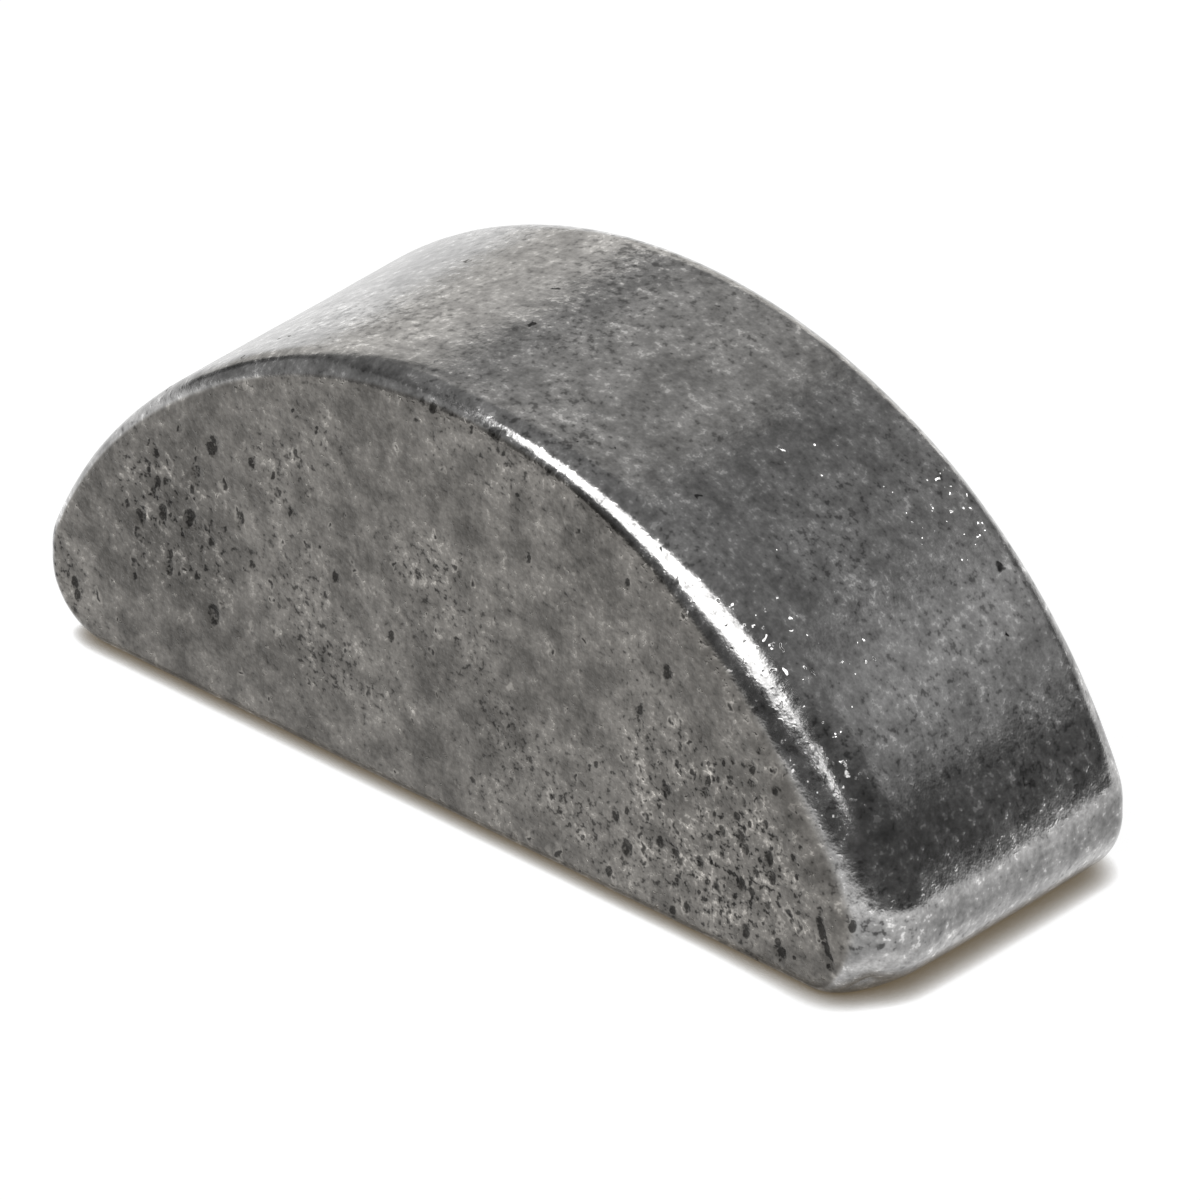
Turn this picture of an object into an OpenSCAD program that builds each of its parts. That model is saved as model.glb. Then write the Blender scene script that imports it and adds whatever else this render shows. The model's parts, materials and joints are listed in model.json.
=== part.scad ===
// Woodruff key: a half-moon of steel that locks a hub to a shaft.
// The curved edge sits in a matching pocket in the shaft, the flat faces the hub.
// Millimetres, lying on its flat: X along the key, Y across its width, Z up.
// The origin is the middle of the flat.

/* [Key] */
// Width across the two flat sides, which is the width of the keyway
key_width = 5; // [2:0.1:12]
// Height from the flat to the crown of the arc
key_height = 6.5; // [4:0.1:7.5]
// Diameter of the disc that the half-moon is part of
disc_diameter = 16; // [14:0.1:26]
// Height at which the arc is cropped by the upright ends
end_height = 1.3; // [0.5:0.05:3]

/* [Tumbled edges] */
// Radius along the arc, where it meets the flat sides
rim_round = 0.35; // [0.1:0.05:0.8]
// Radius of the corners of both ends, seen from a flat side
end_corner_round = 0.9; // [0.2:0.05:2]
// Radius of the upright edges of both ends, seen from above
end_edge_round = 0.6; // [0.1:0.05:0.9]
// Radius of the two long edges of the flat
flat_edge_round = 0.3; // [0.1:0.05:0.8]

/* [Hidden] */
$fn = 128;

// The disc: its radius, and how far its centre lies below the flat
disc_radius = disc_diameter / 2;
disc_drop = disc_radius - key_height;

// The ends stand where the arc has come down to the end height
half_length = sqrt(pow(disc_radius, 2) - pow(disc_drop + end_height, 2));
half_width = key_width / 2;

// An end's upper and lower corner share its height, which limits their radius
fit_b = 2 * (disc_drop + disc_radius - half_length);
fit_c = pow(disc_drop, 2) + pow(half_length, 2) - pow(disc_radius, 2);
corner_limit = (sqrt(pow(fit_b, 2) - 4 * fit_c) - fit_b) / 2;
corner_round = min(end_corner_round, corner_limit);

// A round's circle stands this far proud of its two faces, so it runs out on them at a shallow angle
run_out = 0.005;

// From the faces beside a round to the centre of its circle
function inset(radius) = radius - run_out;

// The upper corner's circle lies inside the disc, this far up and this far round from the X axis
corner_x = half_length - inset(corner_round);
corner_rise = sqrt(pow(disc_radius - inset(corner_round), 2) - pow(corner_x, 2));
corner_turn = atan2(corner_rise, corner_x);

// Room past the key for the shapes that trim it
clear = 1;

// The whole disc, standing on edge, its rim rounded on both sides
module rounded_disc() {
    translate([0, 0, -disc_drop])
        rotate([90, 0, 0])
            rotate_extrude()
                disc_section();
}

// Half the disc's section, from its axis out to the rounded rim
module disc_section() {
    rim_x = disc_radius - rim_round;
    rim_y = half_width - rim_round;
    translate([0, -half_width])
        square([rim_x, key_width]);
    translate([0, -rim_y])
        square([disc_radius, 2 * rim_y]);
    for (side = [-1, 1])
        translate([rim_x, side * rim_y])
            circle(r = rim_round);
}

// The space between the flat and the two upright ends
module crop() {
    translate([-half_length, -half_width - clear, 0])
        cube([2 * half_length, key_width + 2 * clear, key_height + clear]);
}

// What is cut from a corner to round it: the corner turns from +X towards +Y about the circle's centre
module corner_waste(radius, turn = 90) {
    reach = 2 * radius;
    tip = 1.5 * reach;
    difference() {
        polygon([[0, 0], [reach, 0],
                 [tip * cos(turn / 2), tip * sin(turn / 2)],
                 [reach * cos(turn), reach * sin(turn)]]);
        circle(r = radius);
    }
}

// The upper and lower corner of the +X end, cut across the width
module end_corners() {
    translate([0, half_width + clear, 0])
        rotate([90, 0, 0])
            linear_extrude(key_width + 2 * clear) {
                translate([corner_x, corner_rise - disc_drop])
                    corner_waste(corner_round, corner_turn);
                translate([corner_x, inset(corner_round)])
                    mirror([0, 1])
                        corner_waste(corner_round);
            }
}

// One upright edge of the +X end, cut through the height
module end_edge() {
    translate([half_length - inset(end_edge_round), half_width - inset(end_edge_round), -clear])
        linear_extrude(key_height + 2 * clear)
            corner_waste(end_edge_round);
}

// One long edge of the flat, cut along the whole key
module flat_edge() {
    translate([-half_length - clear, half_width - inset(flat_edge_round), inset(flat_edge_round)])
        rotate([90, 0, 90])
            linear_extrude(2 * (half_length + clear))
                mirror([0, 1])
                    corner_waste(flat_edge_round);
}

// The key, one solid piece of steel
module key() {
    color([0.45, 0.44, 0.43])
        difference() {
            intersection() {
                rounded_disc();
                crop();
            }
            for (end = [0, 1])
                mirror([end, 0, 0]) {
                    end_corners();
                    for (side = [0, 1])
                        mirror([0, side, 0])
                            end_edge();
                }
            for (side = [0, 1])
                mirror([0, side, 0])
                    flat_edge();
        }
}

key();
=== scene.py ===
import json
import math

import bpy
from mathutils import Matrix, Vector


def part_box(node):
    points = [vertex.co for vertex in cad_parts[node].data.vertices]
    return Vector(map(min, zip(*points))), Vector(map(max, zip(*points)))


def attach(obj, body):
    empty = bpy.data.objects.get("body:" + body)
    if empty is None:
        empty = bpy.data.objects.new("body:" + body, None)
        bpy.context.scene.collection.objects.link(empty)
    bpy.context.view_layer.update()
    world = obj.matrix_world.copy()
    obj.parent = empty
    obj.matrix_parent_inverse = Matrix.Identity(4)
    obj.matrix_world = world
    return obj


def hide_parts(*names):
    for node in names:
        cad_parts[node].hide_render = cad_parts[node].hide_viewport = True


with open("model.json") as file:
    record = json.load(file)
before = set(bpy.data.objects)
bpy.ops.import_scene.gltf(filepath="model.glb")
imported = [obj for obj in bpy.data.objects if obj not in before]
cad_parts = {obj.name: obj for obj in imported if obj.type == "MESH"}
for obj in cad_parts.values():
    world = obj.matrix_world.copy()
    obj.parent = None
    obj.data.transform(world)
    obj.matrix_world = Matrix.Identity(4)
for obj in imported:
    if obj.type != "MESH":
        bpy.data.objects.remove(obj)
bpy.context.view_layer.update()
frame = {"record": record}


# The key: a half-moon cut from a round steel disc, cropped at both ends and tumbled until its edges are
# round. It is one solid piece of plain steel. Its form follows the disc, so nodes work it out point by point
# from a box of fine squares, and then wear it: low lumps, small dents, and pits that stayed open.
MM = 0.001

key_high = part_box("key")[1]
arc_seat = next(mount for mount in frame["record"]["mounts"] if mount["name"] == "arc_seat")

FORM_SIZES = {
    "Disc radius": arc_seat["dims"]["r_mm"] * MM,
    "Key height": key_high.z,
    "Half length": key_high.x,
    "Half width": key_high.y,
    "End corner round": 1.04 * MM,
    "End crown": 0.05 * MM,
    "Rim round": 0.42 * MM,
    "Left edge round": 0.22 * MM,
    "Far edge round": 0.38 * MM,
    "Near edge round": 1.02 * MM,
    "Left change starts": 4.5 * MM,
    "Left change ends": 7.2 * MM,
    "Right change starts": 1.8 * MM,
    "Right change ends": 6.4 * MM,
    "Flat edge round": 0.25 * MM,
    "Flat edge starts": 1.2 * MM,
    "Flat edge stops": 6.2 * MM,
    "Flat edge ends": 7.3 * MM,
    "Lump height": 0.02 * MM,
    "Dent height": 0.01 * MM,
    "Pit least radius": 0.03 * MM,
    "Pit most radius": 0.085 * MM,
    "Pit gap": 0.15 * MM,
    "Pits per square metre": 7e6,
    "Pit depth share": 0.3,
}
BOX_SIDE = 2.0
SQUARES_ALONG = 300
SQUARES_ACROSS = 42
SQUARES_UP = 106
# How far the squares crowd towards the two sides, where the rim is round
CROWDING = 0.35
# Stands for a length of 0 below a fraction line
NO_LENGTH = 1e-9
# How squarely the skin faces a side where that side's dull finish starts, and where it is full
DULL_FROM = 0.86
DULL_TO = 0.94
# How far the left end's worn arc takes on that finish
LEFT_DULLNESS = 0.7
# How far the skin of an end leans before it counts as part of the arc
END_LEAN_FROM = 0.06
END_LEAN_TO = 0.3
LUMPS_PER_MM = 0.45
LUMP_DETAIL = 1.0
DENTS_PER_MM = 1.9
DENT_DETAIL = 3.0
PIT_SEED = 5
PIT_TALL = 1.6
PIT_FIELDS_PER_MM = 0.55
PIT_FIELD_FROM = 0.42
PIT_FIELD_TO = 0.85
# Over which share of its reach an area is full
AREA_CORE = 0.4
FRONT_MM = -key_high.y / MM
# Areas of the front side with most pits: their middle and how far they reach
PIT_AREAS_MM = (
    ((-5.1, FRONT_MM, 2.5), 1.7),
    ((4.6, FRONT_MM, 1.7), 2.3),
)
# Dark stains of the front side: their middle and how far they reach
STAINS_MM = (
    ((0.7, FRONT_MM, 1.6), 1.0),
    ((-0.5, FRONT_MM, 2.2), 0.7),
    ((-2.8, FRONT_MM, 1.2), 0.9),
    ((2.4, FRONT_MM, 4.9), 0.8),
    ((-4.9, FRONT_MM, 2.2), 1.3),
)
# Where the arc sparkles: the middle of each area and how far it reaches
SPARKLES_MM = (
    ((3.3, 0.6, 5.8), 0.9),
    ((4.7, 1.8, 4.9), 1.3),
    ((5.1, -1.9, 4.7), 1.1),
    ((5.7, -0.9, 4.1), 0.7),
    ((6.3, -2.3, 3.4), 1.0),
)
# The larger pits of the front side: how far along, how high, and their radius
LARGE_PITS_MM = (
    (-4.4, 4.0, 0.13),
    (-4.7, 3.5, 0.10),
    (-5.3, 2.6, 0.11),
    (-5.7, 2.4, 0.11),
    (-4.8, 2.7, 0.14),
    (-3.9, 3.1, 0.09),
    (-5.2, 1.8, 0.10),
    (-4.4, 1.4, 0.13),
    (-2.2, 2.9, 0.08),
    (-1.2, 2.4, 0.08),
    (3.7, 3.9, 0.10),
    (3.2, 3.1, 0.09),
    (2.8, 1.3, 0.09),
    (3.0, 0.9, 0.12),
    (3.7, 2.1, 0.10),
    (5.0, 1.9, 0.10),
    (5.5, 1.8, 0.10),
    (4.3, 1.2, 0.08),
    (5.1, 0.5, 0.09),
    (5.7, 0.45, 0.14),
)
SLIT_TOP_MM = (6.40, 1.20)
SLIT_END_MM = (6.58, 0.60)
SLIT_RADIUS_MM = 0.085
SLIT_STEPS = 8


class Field:
    """A value that varies over a surface. A sum is written as a formula, and each step is a Math node."""

    def __init__(self, socket):
        self.socket = socket

    def __add__(self, other):
        return reckon("ADD", self, other)

    def __radd__(self, other):
        return reckon("ADD", other, self)

    def __sub__(self, other):
        return reckon("SUBTRACT", self, other)

    def __rsub__(self, other):
        return reckon("SUBTRACT", other, self)

    def __mul__(self, other):
        return reckon("MULTIPLY", self, other)

    def __rmul__(self, other):
        return reckon("MULTIPLY", other, self)

    def __truediv__(self, other):
        return reckon("DIVIDE", self, other)

    def __abs__(self):
        return reckon("ABSOLUTE", self)

    def __neg__(self):
        return reckon("MULTIPLY", self, -1.0)


def connect(slot, term):
    """Links a field or a socket to a node's input, or writes a plain number there."""
    if isinstance(term, Field):
        term = term.socket
    if isinstance(term, bpy.types.NodeSocket):
        slot.id_data.links.new(term, slot)
    else:
        slot.default_value = term


def add_node(tree, kind, settings=None, **terms):
    """A new node with its settings made and its named inputs connected; underscores stand for spaces."""
    node = tree.nodes.new(kind)
    for name, value in (settings or {}).items():
        setattr(node, name, value)
    for name, term in terms.items():
        connect(node.inputs[name.replace("_", " ")], term)
    return node


def reckon(operation, *terms):
    tree = next(term for term in terms if isinstance(term, Field)).socket.id_data
    node = add_node(tree, "ShaderNodeMath", {"operation": operation})
    for slot, term in zip(node.inputs, terms):
        connect(slot, term)
    return Field(node.outputs["Value"])


def smaller(one, other):
    return reckon("MINIMUM", one, other)


def larger(one, other):
    return reckon("MAXIMUM", one, other)


def root(term):
    return reckon("SQRT", term)


def mix(share, start, end):
    return start + (end - start) * share


def rise(term, start, end):
    """0 below start, 1 above end, and a smooth step between them."""
    tree = term.socket.id_data
    settings = {"interpolation_type": "SMOOTHSTEP"}
    node = add_node(tree, "ShaderNodeMapRange", settings, Value=term, From_Min=start, From_Max=end)
    return Field(node.outputs["Result"])


def parts_of(vector):
    node = add_node(vector.id_data, "ShaderNodeSeparateXYZ", Vector=vector)
    return [Field(output) for output in node.outputs]


def vector_of(x, y, z):
    return add_node(x.socket.id_data, "ShaderNodeCombineXYZ", X=x, Y=y, Z=z).outputs["Vector"]


def vector_step(tree, operation, *terms):
    """A step between vectors, such as a difference or a distance."""
    node = add_node(tree, "ShaderNodeVectorMath", {"operation": operation})
    for slot, term in zip(node.inputs, terms):
        connect(slot, term)
    return next(output for output in node.outputs if output.enabled)


def noise(place, per_unit, detail=2.0, roughness=0.5):
    """A pattern of noise, from 0 to 1, with one half in its middle."""
    node = add_node(
        place.id_data,
        "ShaderNodeTexNoise",
        Vector=place,
        Scale=per_unit,
        Detail=detail,
        Roughness=roughness,
    )
    return Field(node.outputs[0])


NOISE_MIDDLE = 0.5


def both_ways(pattern):
    """A pattern of noise as a swing to both sides of 0."""
    return pattern - NOISE_MIDDLE


form = bpy.data.node_groups.new("key form", "GeometryNodeTree")
form.interface.new_socket("Key", in_out="OUTPUT", socket_type="NodeSocketGeometry")
form_inputs = {
    name: form.interface.new_socket(name, in_out="INPUT", socket_type="NodeSocketFloat")
    for name in FORM_SIZES
}
steel_input = form.interface.new_socket("Steel", in_out="INPUT", socket_type="NodeSocketMaterial")
given_node = form.nodes.new("NodeGroupInput")
given = {name: Field(given_node.outputs[name]) for name in FORM_SIZES}

# The box of squares, bent so that its top follows the disc and its flat lies at height 0
disc_radius = given["Disc radius"]
half_length = given["Half length"]
half_width = given["Half width"]
disc_drop = disc_radius - given["Key height"]
box = add_node(
    form,
    "GeometryNodeMeshCube",
    Size=(BOX_SIDE, BOX_SIDE, BOX_SIDE),
    Vertices_X=SQUARES_ALONG,
    Vertices_Y=SQUARES_ACROSS,
    Vertices_Z=SQUARES_UP,
)
place = form.nodes.new("GeometryNodeInputPosition").outputs["Position"]
along, evenly_across, upward = parts_of(place)
across = evenly_across * (1.0 + CROWDING - CROWDING * evenly_across * evenly_across)
turn = along * reckon("ARCSINE", half_length / disc_radius)
x = reckon("SINE", turn) * disc_radius
y = across * half_width
share_up = (upward + BOX_SIDE / 2) / BOX_SIDE
z = share_up * (reckon("COSINE", turn) * disc_radius - disc_drop)

# The core that is left when the corner round is taken off the arc, the ends and the flat
corner = given["End corner round"]
end_reach = half_length - given["End crown"] * across * across - corner
core_radius = disc_radius - corner
from_axis = root(x * x + (z + disc_drop) * (z + disc_drop))
pull = smaller(core_radius / from_axis, 1.0)
pulled_x = x * pull
pulled_z = (z + disc_drop) * pull - disc_drop
corner_top = root(core_radius * core_radius - end_reach * end_reach) - disc_drop
past_end = reckon("GREATER_THAN", abs(pulled_x), end_reach)
core_x = mix(past_end, pulled_x, reckon("SIGN", x) * end_reach)
core_z = mix(past_end, larger(pulled_z, corner), smaller(larger(z, corner), corner_top))

# From the core out to the edge round, worn widest at the near right corner, and from there to the skin
near_side = rise(-y, -half_width, half_width)
right_edge = mix(near_side, given["Far edge round"], given["Near edge round"])
to_left = rise(-x, given["Left change starts"], given["Left change ends"])
to_right = rise(x, given["Right change starts"], given["Right change ends"])
upper_edge = mix(to_right, mix(to_left, given["Rim round"], given["Left edge round"]), right_edge)
before_end = 1.0 - rise(abs(x), given["Flat edge stops"], given["Flat edge ends"])
near_flat = (1.0 - rise(z, 0.0, given["Flat edge starts"])) * before_end
edge = mix(near_flat, upper_edge, given["Flat edge round"])
out_x = x - core_x
out_z = z - core_z
out = root(out_x * out_x + out_z * out_z)
step_out = smaller(out, corner - edge) / larger(out, NO_LENGTH)
inner_y = smaller(larger(y, edge - half_width), half_width - edge)
inner = vector_of(core_x + out_x * step_out, inner_y, core_z + out_z * step_out)
outward = vector_step(form, "NORMALIZE", vector_step(form, "SUBTRACT", vector_of(x, y, z), inner))
skin = vector_step(form, "MULTIPLY_ADD", outward, vector_of(edge, edge, edge), inner)
skinned = add_node(form, "GeometryNodeSetPosition", Geometry=box.outputs["Mesh"], Position=skin)


def store(geometry, name, share):
    """Keeps a share at each point of the key, where the steel finds it by its name."""
    settings = {"data_type": "FLOAT", "domain": "POINT"}
    node = add_node(form, "GeometryNodeStoreNamedAttribute", settings, Geometry=geometry, Value=share)
    node.inputs["Name"].default_value = name
    return node.outputs["Geometry"]


# Which points lie on the two flat sides, on the ends, in the fields with most pits, in stains and in sparkles
normal = form.nodes.new("GeometryNodeInputNormal").outputs["Normal"]
normal_y, normal_z = parts_of(normal)[1:]
facing_side = mix(to_left * LEFT_DULLNESS, abs(normal_y), 1.0)
on_flank = rise(facing_side, DULL_FROM, DULL_TO)
on_end = (1.0 - on_flank) * (1.0 - rise(abs(normal_z), END_LEAN_FROM, END_LEAN_TO))
place_mm = vector_step(form, "MULTIPLY", place, (1 / MM, 1 / MM, 1 / MM))


def in_areas(share, areas):
    """The share, raised to 1 in the middle of each area and falling off to its reach."""
    for centre, reach in areas:
        away = Field(vector_step(form, "DISTANCE", place_mm, centre))
        share = larger(share, 1.0 - rise(away, AREA_CORE * reach, reach))
    return share


thin_field = rise(noise(place_mm, PIT_FIELDS_PER_MM), PIT_FIELD_FROM, PIT_FIELD_TO)
pit_field = in_areas(thin_field, PIT_AREAS_MM)
marked = store(skinned.outputs["Geometry"], "facing side", facing_side)
marked = store(marked, "end", on_end)
marked = store(marked, "pitted", pit_field)
marked = store(marked, "stained", in_areas(0.0, STAINS_MM))
marked = store(marked, "sparkling", in_areas(0.0, SPARKLES_MM))

# Small pits are scattered, thicker in some fields; the larger ones and a slit have their own places
scattered = add_node(
    form,
    "GeometryNodeDistributePointsOnFaces",
    {"distribute_method": "POISSON"},
    Mesh=marked,
    Distance_Min=given["Pit gap"],
    Density_Max=given["Pits per square metre"],
    Density_Factor=pit_field * on_flank,
    Seed=PIT_SEED,
)
random_share = add_node(form, "FunctionNodeRandomValue", {"data_type": "FLOAT"}, Seed=PIT_SEED)
luck = Field(next(output for output in random_share.outputs if output.enabled))
random_radius = mix(luck * luck, given["Pit least radius"], given["Pit most radius"])
sized = add_node(form, "GeometryNodeSetPointRadius", Points=scattered.outputs["Points"], Radius=random_radius)
all_pits = form.nodes.new("GeometryNodeJoinGeometry")
connect(all_pits.inputs["Geometry"], sized.outputs["Points"])
slit = [
    (
        SLIT_TOP_MM[0] + (SLIT_END_MM[0] - SLIT_TOP_MM[0]) * step / SLIT_STEPS,
        SLIT_TOP_MM[1] + (SLIT_END_MM[1] - SLIT_TOP_MM[1]) * step / SLIT_STEPS,
        SLIT_RADIUS_MM,
    )
    for step in range(SLIT_STEPS + 1)
]
for pit_x, pit_z, pit_radius in LARGE_PITS_MM + tuple(slit):
    pit_place = (pit_x * MM, -FORM_SIZES["Half width"], pit_z * MM)
    point = add_node(form, "GeometryNodePoints", Count=1, Position=pit_place, Radius=pit_radius * MM)
    connect(all_pits.inputs["Geometry"], point.outputs["Points"])
nearest = add_node(
    form, "GeometryNodeSampleNearest", Geometry=all_pits.outputs["Geometry"], Sample_Position=place
)


def from_nearest(kind, value):
    """What the pit that lies nearest has for a value."""
    settings = {"data_type": kind, "domain": "POINT"}
    node = add_node(form, "GeometryNodeSampleIndex", settings, Geometry=all_pits.outputs["Geometry"])
    connect(node.inputs["Value"], value)
    connect(node.inputs["Index"], nearest.outputs["Index"])
    return node.outputs["Value"]


pit_centre = from_nearest("FLOAT_VECTOR", place)
pit_radius = Field(from_nearest("FLOAT", form.nodes.new("GeometryNodeInputRadius").outputs["Radius"]))
from_pit = vector_step(form, "SUBTRACT", place, pit_centre)
apart = vector_step(form, "MULTIPLY", from_pit, (1.0, 1.0, 1 / PIT_TALL))
share_out = Field(vector_step(form, "LENGTH", apart)) / pit_radius
bowl = larger(1.0 - share_out * share_out, 0.0)
lump = both_ways(noise(place_mm, LUMPS_PER_MM, LUMP_DETAIL)) * given["Lump height"]
dent = both_ways(noise(place_mm, DENTS_PER_MM, DENT_DETAIL)) * given["Dent height"]
lift = lump + dent - bowl * pit_radius * given["Pit depth share"]
shift = add_node(form, "ShaderNodeVectorMath", {"operation": "SCALE"}, Vector=normal, Scale=lift)
worn = add_node(
    form,
    "GeometryNodeSetPosition",
    Geometry=store(marked, "pit", bowl),
    Offset=shift.outputs["Vector"],
)
shaded = add_node(form, "GeometryNodeSetShadeSmooth", Geometry=worn.outputs["Geometry"], Shade_Smooth=True)
whole = add_node(form, "GeometryNodeRealizeInstances", Geometry=shaded.outputs["Geometry"])
painted = add_node(
    form,
    "GeometryNodeSetMaterial",
    Geometry=whole.outputs["Geometry"],
    Material=given_node.outputs["Steel"],
)
form_end = form.nodes.new("NodeGroupOutput")
connect(form_end.inputs["Key"], painted.outputs["Geometry"])

# The steel: rougher and darker on the flat sides, brighter where the tumbling rubbed the arc and the edges
steel = bpy.data.materials.new("tumbled steel")
steel.use_nodes = True
paint = steel.node_tree
paint.nodes.clear()
object_place = paint.nodes.new("ShaderNodeTexCoord").outputs["Object"]
to_mm = add_node(paint, "ShaderNodeMapping", Vector=object_place, Scale=(1 / MM, 1 / MM, 1 / MM))
in_mm = to_mm.outputs["Vector"]


def kept(name):
    """A share that the key's form stored at its points."""
    node = add_node(paint, "ShaderNodeAttribute", {"attribute_name": name})
    return Field(node.outputs["Fac"])


# How squarely the skin faces a side where that side's coarse grain starts, and where it is full
COARSE_FROM = 0.95
COARSE_TO = 0.985

facing = kept("facing side")
flank = rise(facing, DULL_FROM, DULL_TO)
coarse = rise(facing, COARSE_FROM, COARSE_TO)
end = kept("end")
pit = kept("pit")
pitted = kept("pitted")
stained = kept("stained")
sparkling = kept("sparkling")

# Soft stains, mottling and grain
STAINS_PER_MM = 0.55
STAIN_DETAIL = 0.0
MOTTLE_PER_MM = 2.3
MOTTLE_DETAIL = 3.0
MOTTLE_ROUGHNESS = 0.68
GRAIN_PER_MM = 8.0
GRAIN_DETAIL = 2.0
GRAIN_ROUGHNESS = 0.7

stain = noise(in_mm, STAINS_PER_MM, STAIN_DETAIL)
mottle = noise(in_mm, MOTTLE_PER_MM, MOTTLE_DETAIL, MOTTLE_ROUGHNESS)
grain = noise(in_mm, GRAIN_PER_MM, GRAIN_DETAIL, GRAIN_ROUGHNESS)

# The grain's lowest places are dark specks; its highest are pale flecks and peaks, some of which glint
SPECK_LEVEL = 0.34
SPECK_STAIN_SHIFT = 0.2
SPECK_PIT_SHIFT = 0.06
SPECK_BELOW = 0.07
SPECK_ABOVE = 0.05
FLECK_LEVEL = 0.6
FLECK_MOTTLE_SHIFT = 0.3
FLECK_PIT_SHIFT = 0.03
FLECK_STEP = 0.12
PEAK_FROM = 0.6
PEAK_TO = 0.72
GLINT_FROM = 0.64

speck_level = SPECK_LEVEL + both_ways(stain) * SPECK_STAIN_SHIFT + pitted * SPECK_PIT_SHIFT
speck = 1.0 - rise(grain, speck_level - SPECK_BELOW, speck_level + SPECK_ABOVE)
fleck_level = FLECK_LEVEL - both_ways(mottle) * FLECK_MOTTLE_SHIFT - pitted * FLECK_PIT_SHIFT
fleck = rise(grain, fleck_level, fleck_level + FLECK_STEP)
peak = rise(grain, PEAK_FROM, PEAK_TO)
glint = rise(grain, GLINT_FROM, PEAK_TO) * sparkling * (1.0 - flank)

# Small spots with ragged borders: open pits that look dark, and nicks that catch the light, with painted
# sparkle
SPOTS_PER_MM = 6.4
SPOT_TURN = 0.25
SPOT_SQUASH = 0.6
RAGGED_PER_MM = 11.0
RAGGED_MM = 0.16
ARC_PIT_SHARE = 0.1
FLANK_PIT_SHARE = 0.7
KIND_STEP = 0.04
# The least and the most radius that chance gives a spot, which shows where its radius is above 0
PLAIN_PIT_MM = (-0.4, 0.06)
FIELD_PIT_MM = (-0.12, 0.09)
PLAIN_NICK_MM = (-0.3, 0.04)
SPARKLE_NICK_MM = (0.0, 0.055)
LEAST_SHOWN_MM = 1e-4
# How far out a spot is full, and where the painted highlight on its rim fades, as shares of its radius
SPOT_FULL = 0.4
PAINTED_HIGHLIGHT_FULL = 1.1
PAINTED_HIGHLIGHT_END = 1.8
# How ragged the pits of the form look, and how deep in them the dark starts and is full
PIT_RAGGEDNESS = 6.0
PIT_DARK_FROM = 0.15
PIT_DARK_TO = 0.75

waver = add_node(paint, "ShaderNodeTexNoise", Vector=in_mm, Scale=RAGGED_PER_MM, Detail=0.0)
raggedness = (RAGGED_MM, RAGGED_MM, RAGGED_MM)
ragged = vector_step(paint, "MULTIPLY_ADD", waver.outputs["Color"], raggedness, in_mm)
upright = add_node(
    paint,
    "ShaderNodeMapping",
    Vector=ragged,
    Rotation=(0.0, SPOT_TURN, 0.0),
    Scale=(1.0, 1.0, SPOT_SQUASH),
)
cells = add_node(paint, "ShaderNodeTexVoronoi", Vector=upright.outputs["Vector"], Scale=SPOTS_PER_MM)
spot_luck, spot_kind = parts_of(cells.outputs["Color"])[:2]
pit_share = mix(flank, ARC_PIT_SHARE, FLANK_PIT_SHARE)
nick = rise(spot_kind, pit_share, pit_share + KIND_STEP)
least_radius, most_radius = [
    mix(nick, mix(pitted, plain_pit, field_pit), mix(sparkling, plain_nick, sparkle_nick))
    for plain_pit, field_pit, plain_nick, sparkle_nick in zip(
        PLAIN_PIT_MM, FIELD_PIT_MM, PLAIN_NICK_MM, SPARKLE_NICK_MM
    )
]
spot_radius = mix(spot_luck, least_radius, most_radius)
spot_apart = Field(cells.outputs["Distance"]) / SPOTS_PER_MM
spot_share = spot_apart / larger(spot_radius, LEAST_SHOWN_MM)
spot = 1.0 - rise(spot_share, SPOT_FULL, 1.0)
# Painted highlight: a pale ring round each spot, used on the flat sides
painted_pit_highlight = 1.0 - rise(spot_share, PAINTED_HIGHLIGHT_FULL, PAINTED_HIGHLIGHT_END)
ragged_pit = pit * (1.0 + both_ways(grain) * PIT_RAGGEDNESS)
dark = larger(rise(ragged_pit, PIT_DARK_FROM, PIT_DARK_TO), spot * (1.0 - nick))

# The colour: the bare steel's tone, swung by the soft patterns, with the specks and the spots on it, and with
# painted shade on the near corner, painted sparkle in nicks and a painted highlight round spots on the flat
# sides
ARC_TONE = 0.41
# The end tone: the cut ends' own, and painted shade on the round near corner
END_AND_CORNER_SHADE_TONE = 0.27
FLANK_TONE = 0.16
ARC_TINT = (1.01, 1.0, 0.99)
FLANK_TINT = (1.05, 1.0, 0.93)
SWING_FROM = 0.3
SWING_TO = 0.7
STAIN_SWING = 0.12
ARC_MOTTLE_SWING = 0.28
FLANK_MOTTLE_SWING = 0.34
GRAIN_SWING = 0.2
STAIN_SHADE = 0.22
END_SPECKLING = 0.5
FLECK_GAIN = 0.45
FIELD_FLECK_GAIN = 1.0
SPECK_SHADE = 0.45
FIELD_SPECK_SHADE = 0.82
# How much brighter the painted sparkle makes nicks, and the painted highlight makes rims of spots
NICK_PAINTED_SPARKLE_GAIN = 0.3
PAINTED_PIT_HIGHLIGHT_GAIN = 0.5
DARK_SHADE = 0.792


def swing(pattern, share):
    """A pattern of noise as a factor that goes from 1 - share to 1 + share."""
    return mix(rise(pattern, SWING_FROM, SWING_TO), 1.0 - share, 1.0 + share)


speckled = mix(flank, end * END_SPECKLING, pitted)
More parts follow.
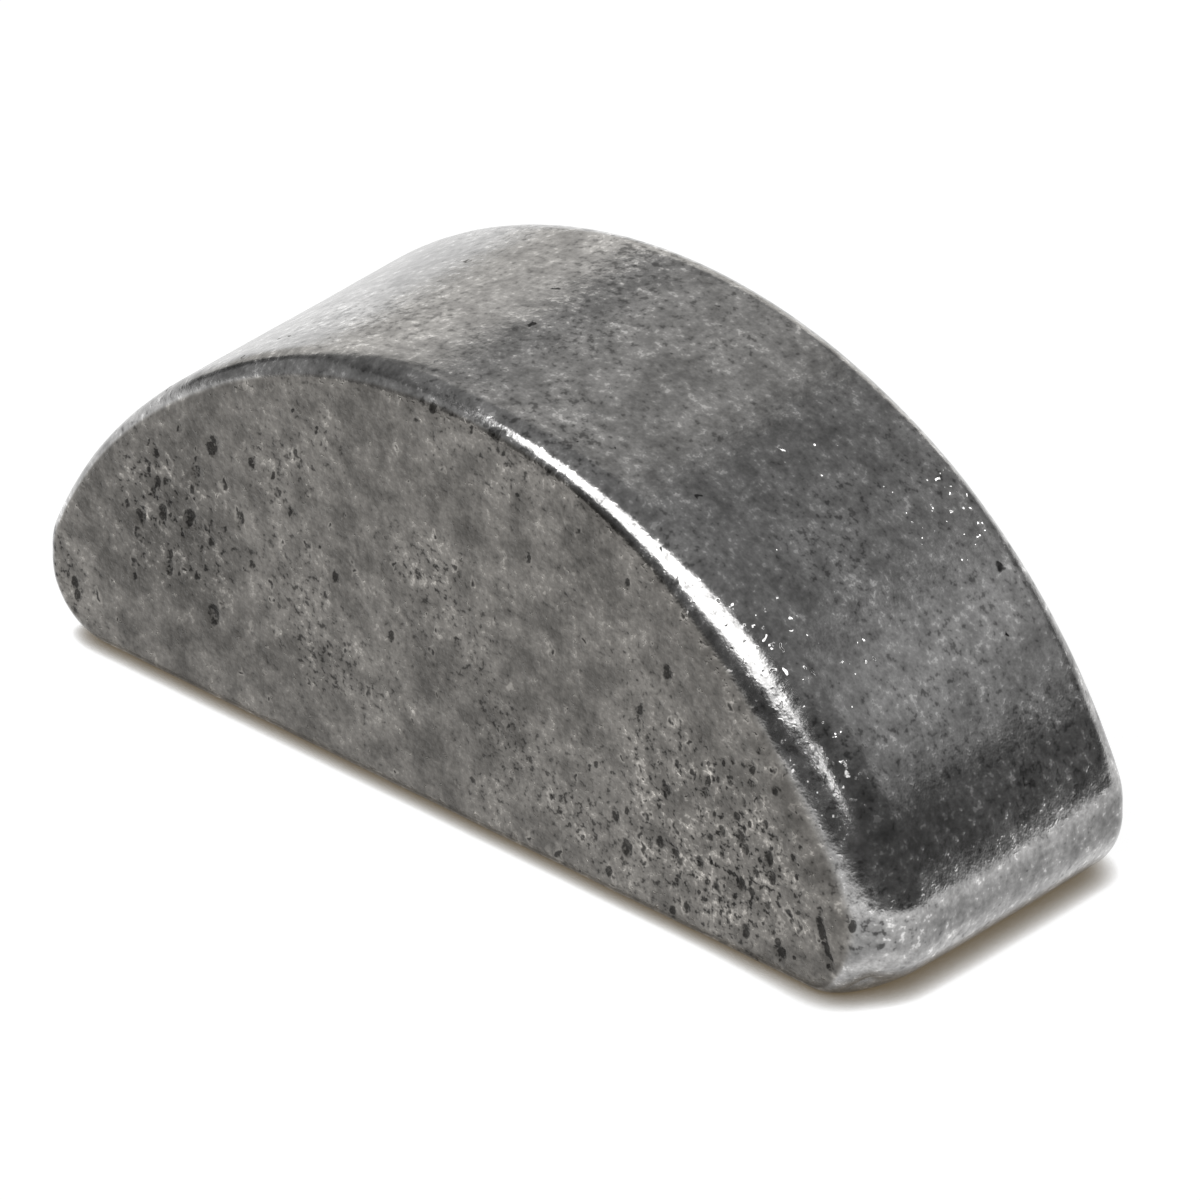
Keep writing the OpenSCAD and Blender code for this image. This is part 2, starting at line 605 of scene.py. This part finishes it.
# The cut ends and the round near corner take the end tone, which on the near corner is painted shade
tone = mix(flank, mix(end, ARC_TONE, END_AND_CORNER_SHADE_TONE), FLANK_TONE)
tone = tone * swing(stain, STAIN_SWING) * (1.0 - stained * STAIN_SHADE)
tone = tone * swing(mottle, mix(flank, ARC_MOTTLE_SWING, FLANK_MOTTLE_SWING)) * swing(grain, GRAIN_SWING)
tone = tone * (1.0 + fleck * mix(speckled, FLECK_GAIN, FIELD_FLECK_GAIN))
tone = tone * (1.0 - speck * mix(speckled, SPECK_SHADE, FIELD_SPECK_SHADE))
# Painted sparkle in nicks, and a painted highlight round spots on the flat sides
tone = tone * (1.0 + spot * nick * NICK_PAINTED_SPARKLE_GAIN) * (1.0 + painted_pit_highlight * flank * PAINTED_PIT_HIGHLIGHT_GAIN)
tone = tone * (1.0 - dark * DARK_SHADE)
red, green, blue = [
    tone * mix(flank, arc_share, flank_share) for arc_share, flank_share in zip(ARC_TINT, FLANK_TINT)
]
colour = add_node(paint, "ShaderNodeCombineColor", Red=red, Green=green, Blue=blue)

# The finish: how dull the steel is, its relief too fine for the mesh, and the lean of nicks, pits and glints
ARC_ROUGHNESS = 0.18
FLANK_ROUGHNESS = 0.32
MOTTLE_DULLS = 0.1
DARK_DULLS = 0.135
BUMP_HEIGHT = 0.025 * MM
ARC_GRAIN_RELIEF = 0.14
FLANK_GRAIN_RELIEF = 1.2
ARC_PEAK_RELIEF = 0.03
FLANK_PEAK_RELIEF = 0.35
PIT_TILT = 0.3
NICK_TILT = 1.0
NICK_SPREAD = (0.5, 0.5, 0.5)
NICK_LEAN = (-0.6, -1.05, -0.37)

dullness = mix(coarse, ARC_ROUGHNESS, FLANK_ROUGHNESS) + both_ways(mottle) * MOTTLE_DULLS + dark * DARK_DULLS
grain_relief = both_ways(grain) * mix(coarse, ARC_GRAIN_RELIEF, FLANK_GRAIN_RELIEF)
peak_relief = peak * mix(coarse, ARC_PEAK_RELIEF, FLANK_PEAK_RELIEF)
relief = grain_relief + peak_relief
bump = add_node(paint, "ShaderNodeBump", Strength=1.0, Distance=BUMP_HEIGHT, Height=relief)
own_way = vector_step(paint, "MULTIPLY_ADD", cells.outputs["Color"], NICK_SPREAD, NICK_LEAN)
tilt = larger(spot * mix(nick, PIT_TILT, NICK_TILT), glint)
leaning = vector_step(paint, "MULTIPLY_ADD", own_way, vector_of(tilt, tilt, tilt), bump.outputs["Normal"])
surface = add_node(
    paint,
    "ShaderNodeBsdfPrincipled",
    Base_Color=colour.outputs["Color"],
    Metallic=1.0,
    Roughness=dullness,
    Normal=vector_step(paint, "NORMALIZE", leaning),
)
add_node(paint, "ShaderNodeOutputMaterial", Surface=surface.outputs["BSDF"])

# The worked-out key becomes a plain mesh, stands for the key's solid and moves with it
key = bpy.data.objects.new("steel_key", bpy.data.meshes.new("steel_key"))
bpy.context.scene.collection.objects.link(key)
shaping = key.modifiers.new("form", "NODES")
shaping.node_group = form
for name, size in FORM_SIZES.items():
    shaping[form_inputs[name].identifier] = size
shaping[steel_input.identifier] = steel
depsgraph = bpy.context.evaluated_depsgraph_get()
key_mesh = bpy.data.meshes.new_from_object(
    key.evaluated_get(depsgraph), preserve_all_data_layers=True, depsgraph=depsgraph
)
key.modifiers.clear()
key.data = key_mesh
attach(key, "root")
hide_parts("key")


# The floor: a plain white table that the key lies on. Its matt part takes the key's shadow. Its glow shows
# white to the camera and in the steel, darkened near the key by a painted brownish contact shadow.
FLOOR_SIDE = 2.0
FLOOR_WHITE = 0.12
FLOOR_GLOW = 0.97
PAINTED_SHADOW_REACH = 0.21 * MM
RIGHT_PAINTED_SHADOW_REACH = 0.38 * MM
REACH_GROWS_FROM = 4.0 * MM
REACH_GROWS_TO = 8.0 * MM
PAINTED_SHADOW_POWER = 3.0
PAINTED_SHADOW_SAMPLES = 3
PAINTED_SHADOW_COLOUR = (0.12, 0.09, 0.05)

half_side = FLOOR_SIDE / 2
corners = [
    (-half_side, -half_side, 0.0),
    (half_side, -half_side, 0.0),
    (half_side, half_side, 0.0),
    (-half_side, half_side, 0.0),
]
floor_mesh = bpy.data.meshes.new("floor")
floor_mesh.from_pydata(corners, [], [range(len(corners))])
floor = bpy.data.objects.new("floor", floor_mesh)
bpy.context.scene.collection.objects.link(floor)
white = bpy.data.materials.new("white table")
white.use_nodes = True
cover = white.node_tree
cover.nodes.clear()
seen_by = cover.nodes.new("ShaderNodeLightPath")
seen = larger(Field(seen_by.outputs["Is Camera Ray"]), Field(seen_by.outputs["Is Glossy Ray"]))
seen = larger(seen, Field(seen_by.outputs["Is Transmission Ray"]))
matt = add_node(cover, "ShaderNodeBsdfDiffuse", Color=(FLOOR_WHITE, FLOOR_WHITE, FLOOR_WHITE, 1.0))
floor_x = parts_of(cover.nodes.new("ShaderNodeTexCoord").outputs["Object"])[0]
below_right = rise(floor_x, REACH_GROWS_FROM, REACH_GROWS_TO)
reach = mix(below_right, PAINTED_SHADOW_REACH, RIGHT_PAINTED_SHADOW_REACH)
# Painted shadow: near the key the glow darkens, most where they meet, and further out under the right end
open_sky = add_node(cover, "ShaderNodeAmbientOcclusion", {"samples": PAINTED_SHADOW_SAMPLES}, Distance=reach)
clear_share = reckon("POWER", Field(open_sky.outputs["AO"]), PAINTED_SHADOW_POWER)
red, green, blue = [mix(clear_share, level, 1.0) for level in PAINTED_SHADOW_COLOUR]
painted_shadow = add_node(cover, "ShaderNodeCombineColor", Red=red, Green=green, Blue=blue)
glow = add_node(cover, "ShaderNodeEmission", Color=painted_shadow.outputs["Color"], Strength=seen * FLOOR_GLOW)
both = add_node(cover, "ShaderNodeAddShader")
connect(both.inputs[0], matt.outputs["BSDF"])
connect(both.inputs[1], glow.outputs["Emission"])
add_node(cover, "ShaderNodeOutputMaterial", Surface=both.outputs["Shader"])
floor_mesh.materials.append(white)


# The light: a softbox in front and a small lamp on its right draw the long highlight. Dim panels stand on the
# left, above and on the right, and a pale card low behind. The room is dark, and lighter overhead and behind.
# Each lamp: its direction and distance from the key, its width and height in metres, and its glow
PANELS = {
    "front_softbox": {"towards": (0.05, -0.73, 0.68), "away": 0.8, "wide": 0.95, "high": 0.34, "glow": 3.6},
    "side_lamp": {"towards": (0.65, -0.65, 0.39), "away": 1.0, "wide": 0.1, "high": 0.1, "glow": 3.6},
    "left_panel": {"towards": (-0.68, 0.70, 0.06), "away": 1.0, "wide": 1.3, "high": 0.7, "glow": 0.61},
    "left_fill": {"towards": (-0.84, -0.52, 0.2), "away": 1.0, "wide": 1.2, "high": 0.6, "glow": 0.24},
    "upper_panel": {"towards": (-0.45, 0.55, 0.70), "away": 1.0, "wide": 0.7, "high": 0.5, "glow": 0.18},
    "right_panel": {"towards": (0.59, 0.66, 0.47), "away": 1.0, "wide": 0.5, "high": 0.4, "glow": 0.19},
    "back_card": {"towards": (0.05, 1.0, 0.06), "away": 1.0, "wide": 1.2, "high": 0.22, "glow": 0.5},
}
WHITE_LIGHT = (1.0, 1.0, 1.0)
WARM_LIGHT = (1.0, 0.97, 0.92)
WARM_PANELS = ("left_panel", "upper_panel")
# The room's glow at the horizon and overhead, and which way it gets lighter
HORIZON = 0.095
OVERHEAD = 0.29
UPWARD_SHARE = 0.8
BACKWARD_SHARE = 0.3
LEFTWARD_SHARE = 0.08
LIGHTER_FROM = 0.26
LIGHTER_TO = 0.62
WHITE = (1.0, 1.0, 1.0, 1.0)

for name, panel in PANELS.items():
    lamp = bpy.data.lights.new(name, "AREA")
    lamp.shape = "RECTANGLE"
    lamp.size = panel["wide"]
    lamp.size_y = panel["high"]
    lamp.color = WARM_LIGHT if name in WARM_PANELS else WHITE_LIGHT
    lamp.energy = panel["glow"] * math.pi * panel["wide"] * panel["high"]
    towards = Vector(panel["towards"]).normalized()
    stand = bpy.data.objects.new(name, lamp)
    stand.location = towards * panel["away"]
    stand.rotation_euler = towards.to_track_quat("Z", "Y").to_euler()
    stand.visible_camera = False
    bpy.context.scene.collection.objects.link(stand)

room = bpy.data.worlds.new("room")
bpy.context.scene.world = room
room.use_nodes = True
walls = room.node_tree
walls.nodes.clear()
rightward, backward, upwards = parts_of(walls.nodes.new("ShaderNodeTexCoord").outputs["Generated"])
lit_side = upwards * UPWARD_SHARE + backward * BACKWARD_SHARE - rightward * LEFTWARD_SHARE
level = mix(rise(lit_side, LIGHTER_FROM, LIGHTER_TO), HORIZON, OVERHEAD)
seen_by = walls.nodes.new("ShaderNodeLightPath")
room_light = add_node(walls, "ShaderNodeBackground", Color=WHITE, Strength=level)
backdrop = add_node(walls, "ShaderNodeBackground", Color=WHITE)
choice = add_node(walls, "ShaderNodeMixShader", Fac=seen_by.outputs["Is Camera Ray"])
connect(choice.inputs[1], room_light.outputs["Background"])
connect(choice.inputs[2], backdrop.outputs["Background"])
add_node(walls, "ShaderNodeOutputWorld", Surface=choice.outputs["Shader"])
bpy.context.scene.view_settings.view_transform = "Standard"


# The camera: a long lens far off, in which the key's long edges hardly draw together. It looks down on the
# key from the right of its front.
CAMERA_AZIMUTH = math.radians(42.47)
CAMERA_ELEVATION = math.radians(31.65)
CAMERA_AWAY = 0.4
VIEW_CENTRE_RIGHT = 0.178 * MM
VIEW_CENTRE_UP = 1.975 * MM
VIEW_WIDTH = 15.846 * MM
SENSOR_WIDTH = 36.0
NEAREST_SEEN = 0.01
FARTHEST_SEEN = 10.0

back = Vector((
    math.sin(CAMERA_AZIMUTH) * math.cos(CAMERA_ELEVATION),
    -math.cos(CAMERA_AZIMUTH) * math.cos(CAMERA_ELEVATION),
    math.sin(CAMERA_ELEVATION),
))
right = Vector((math.cos(CAMERA_AZIMUTH), math.sin(CAMERA_AZIMUTH), 0.0))
up = back.cross(right)
lens = bpy.data.cameras.new("camera")
lens.sensor_width = SENSOR_WIDTH
lens.lens = SENSOR_WIDTH * CAMERA_AWAY / VIEW_WIDTH
lens.clip_start = NEAREST_SEEN
lens.clip_end = FARTHEST_SEEN
camera = bpy.data.objects.new("camera", lens)
camera.location = right * VIEW_CENTRE_RIGHT + up * VIEW_CENTRE_UP + back * CAMERA_AWAY
camera.rotation_euler = back.to_track_quat("Z", "Y").to_euler()
bpy.context.scene.collection.objects.link(camera)
bpy.context.scene.camera = camera
